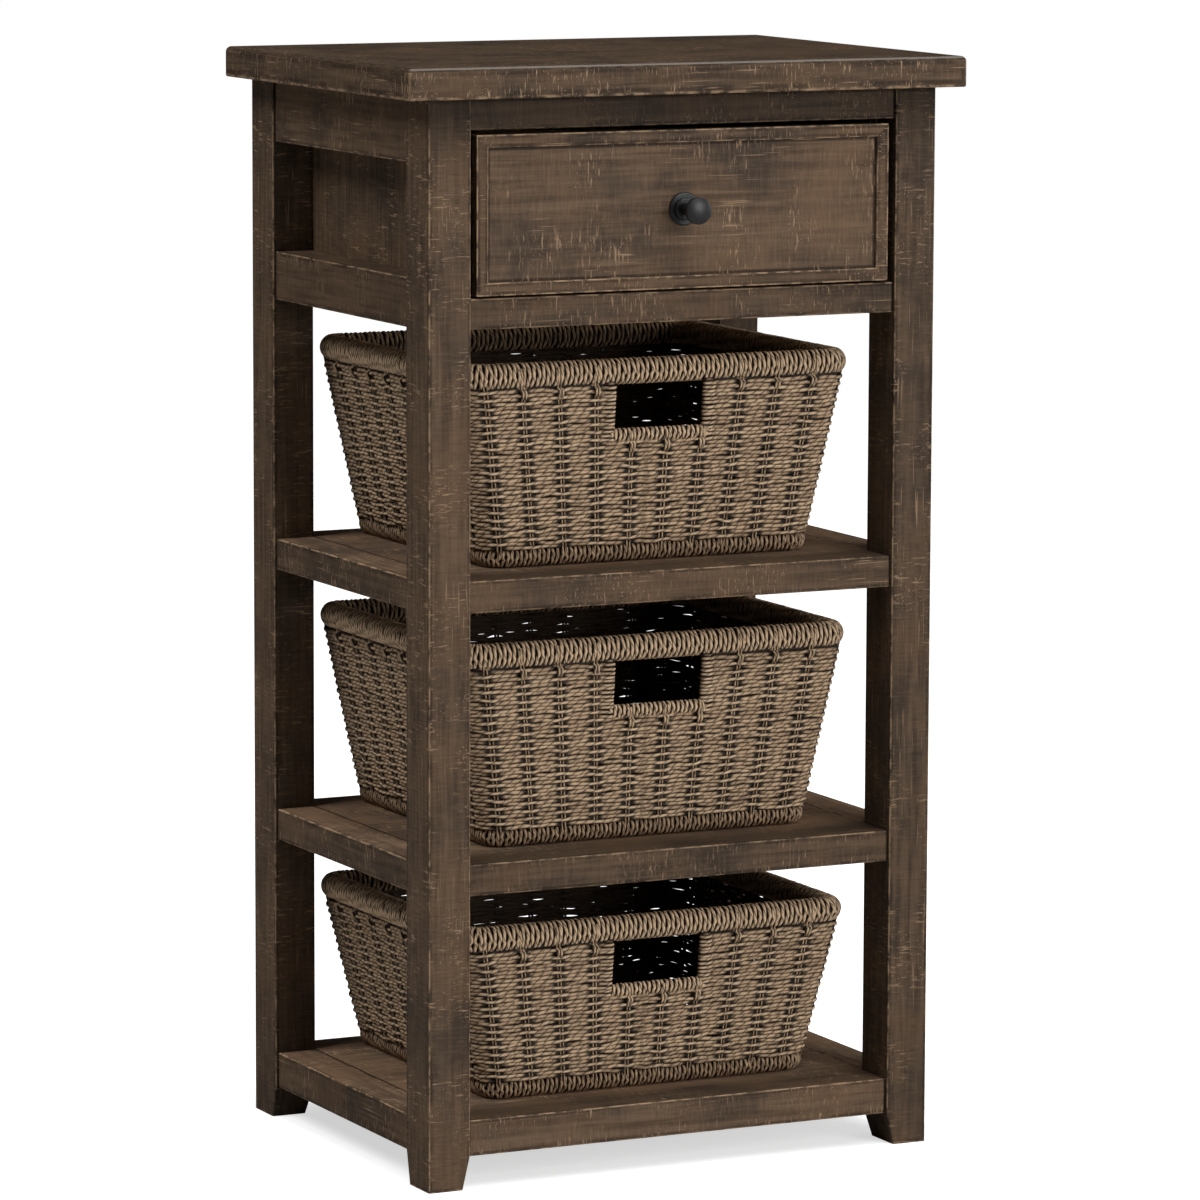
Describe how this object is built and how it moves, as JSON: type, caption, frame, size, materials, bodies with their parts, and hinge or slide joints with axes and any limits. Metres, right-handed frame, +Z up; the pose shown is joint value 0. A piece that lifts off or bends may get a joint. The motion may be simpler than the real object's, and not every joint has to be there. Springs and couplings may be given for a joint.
{
  "type": "basket stand",
  "caption": "Tall narrow wooden stand with a shallow knobbed drawer under a square-edged top and open shelves that hold pull-out woven baskets.",
  "frame": {"origin": "on the floor, under the middle of the whole stand with its knob", "axes": "+Z up, +X to the right of someone facing the drawer, drawer and baskets come out along -Y"},
  "size_m": [0.506, 0.389, 0.914],
  "materials": {
    "distressed_wood": "dark brown stain with rubbed tan edges and fine scratches",
    "drawer_box_wood": "plain sanded board",
    "black_metal": "satin black",
    "screw_steel": "zinc plated",
    "woven_cord": "tan twisted cord, tightly woven"
  },
  "bodies": {
    "frame": {"back_lower_rail": "distressed_wood", "back_panel": "drawer_box_wood", "back_upper_rail": "distressed_wood", "drawer_runner_left": "drawer_box_wood", "drawer_runner_right": "drawer_box_wood", "front_lower_rail": "distressed_wood", "front_upper_rail": "distressed_wood", "leg_back_left": "distressed_wood", "leg_back_right": "distressed_wood", "leg_front_left": "distressed_wood", "leg_front_right": "distressed_wood", "lower_shelf_board": "distressed_wood", "lower_shelf_rail_left": "distressed_wood", "lower_shelf_rail_right": "distressed_wood", "middle_shelf_board": "distressed_wood", "middle_shelf_rail_left": "distressed_wood", "middle_shelf_rail_right": "distressed_wood", "shelf_dowels": "drawer_box_wood", "side_lower_rail_left": "distressed_wood", "side_lower_rail_right": "distressed_wood", "side_panel_left": "distressed_wood", "side_panel_right": "distressed_wood", "side_upper_rail_left": "distressed_wood", "side_upper_rail_right": "distressed_wood", "top_panel": "distressed_wood", "upper_shelf_board": "distressed_wood", "upper_shelf_rail_left": "distressed_wood", "upper_shelf_rail_right": "distressed_wood", "wood_screws": "screw_steel"},
    "drawer": {"drawer_back": "drawer_box_wood", "drawer_bead_bottom": "distressed_wood", "drawer_bead_left": "distressed_wood", "drawer_bead_right": "distressed_wood", "drawer_bead_top": "distressed_wood", "drawer_bottom": "drawer_box_wood", "drawer_front": "distressed_wood", "drawer_knob": "black_metal", "drawer_side_left": "drawer_box_wood", "drawer_side_right": "drawer_box_wood", "knob_backplate": "black_metal", "knob_screw": "screw_steel"},
    "basket_upper": {"upper_basket_base_ring": "woven_cord", "upper_basket_floor": "woven_cord", "upper_basket_handle_border": "woven_cord", "upper_basket_rim": "woven_cord", "upper_basket_wall": "woven_cord"},
    "basket_middle": {"middle_basket_base_ring": "woven_cord", "middle_basket_floor": "woven_cord", "middle_basket_handle_border": "woven_cord", "middle_basket_rim": "woven_cord", "middle_basket_wall": "woven_cord"},
    "basket_lower": {"lower_basket_base_ring": "woven_cord", "lower_basket_floor": "woven_cord", "lower_basket_handle_border": "woven_cord", "lower_basket_rim": "woven_cord", "lower_basket_wall": "woven_cord"}
  },
  "joints": [
    {"name": "drawer_slide", "type": "slide", "parent": "frame", "child": "drawer", "axis": [0, -1, 0], "range_m": [0, 0.24]},
    {"name": "upper_basket_slide", "type": "slide", "parent": "frame", "child": "basket_upper", "axis": [0, -1, 0], "range_m": [0, 0.37]},
    {"name": "middle_basket_slide", "type": "slide", "parent": "frame", "child": "basket_middle", "axis": [0, -1, 0], "range_m": [0, 0.37]},
    {"name": "lower_basket_slide", "type": "slide", "parent": "frame", "child": "basket_lower", "axis": [0, -1, 0], "range_m": [0, 0.37]}
  ]
}
